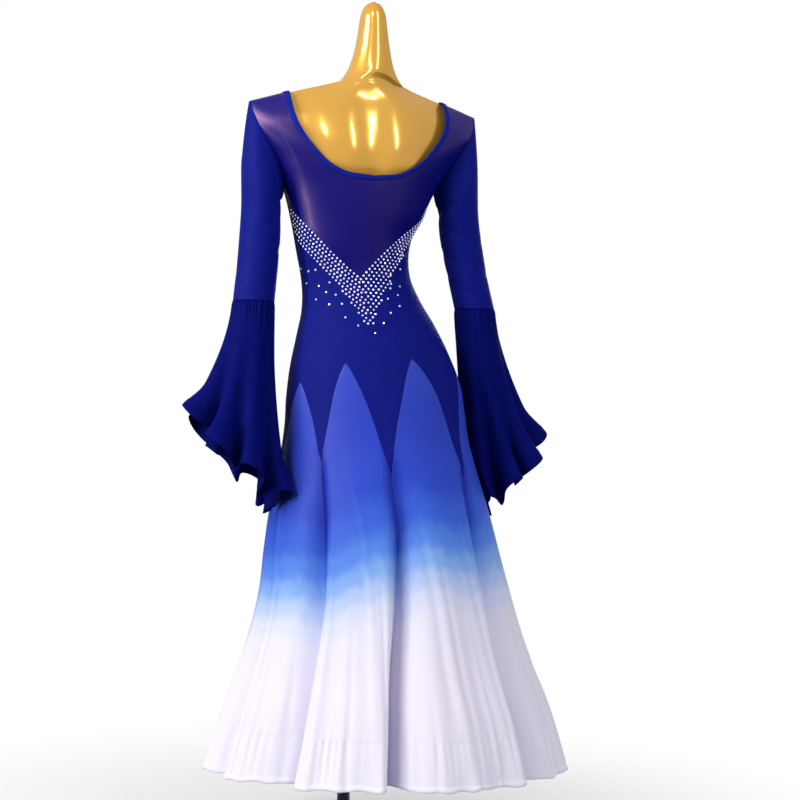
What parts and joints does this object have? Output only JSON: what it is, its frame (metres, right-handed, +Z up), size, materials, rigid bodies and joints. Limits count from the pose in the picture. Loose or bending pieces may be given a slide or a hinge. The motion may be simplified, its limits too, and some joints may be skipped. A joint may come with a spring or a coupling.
{
  "type": "ballroom dance dress worn on a limbless dress form with its stand",
  "caption": "Long-sleeved ballroom dress with a sheer back yoke, leaf-topped ombre godets and sleeve flounces, worn on a gold limbless dress form on a pole stand.",
  "frame": {"origin": "middle of the underside of the stand's round foot", "axes": "+Z up, +X towards the wearer's left, +Y towards the wearer's back"},
  "size_m": [0.7499, 0.6899, 1.621],
  "materials": {
    "gold": "glossy gold lacquer over a moulded shell",
    "steel": "polished chrome plate",
    "mesh": "sheer stretch power mesh",
    "knit": "matte stretch knit",
    "chiffon": "satin chiffon, dyed from blue through azure to white towards the hem",
    "white_chiffon": "gathered satin chiffon"
  },
  "bodies": {
    "root": {"form_body": "gold", "stand_base": "steel", "stand_collar": "steel", "stand_pole": "steel", "yoke_back": "mesh", "bodice_back": "knit", "bodice_front": "knit", "neck_binding": "knit", "godet_1": "chiffon", "godet_2": "chiffon", "godet_3": "chiffon", "godet_4": "chiffon", "godet_5": "chiffon", "godet_6": "chiffon", "godet_7": "chiffon", "godet_8": "chiffon", "hem_band_1": "white_chiffon", "hem_band_2": "white_chiffon", "hem_band_3": "white_chiffon", "hem_band_4": "white_chiffon", "sleeve_left": "knit", "sleeve_right": "knit", "flounce_left": "chiffon", "flounce_right": "chiffon"}
  },
  "joints": []
}
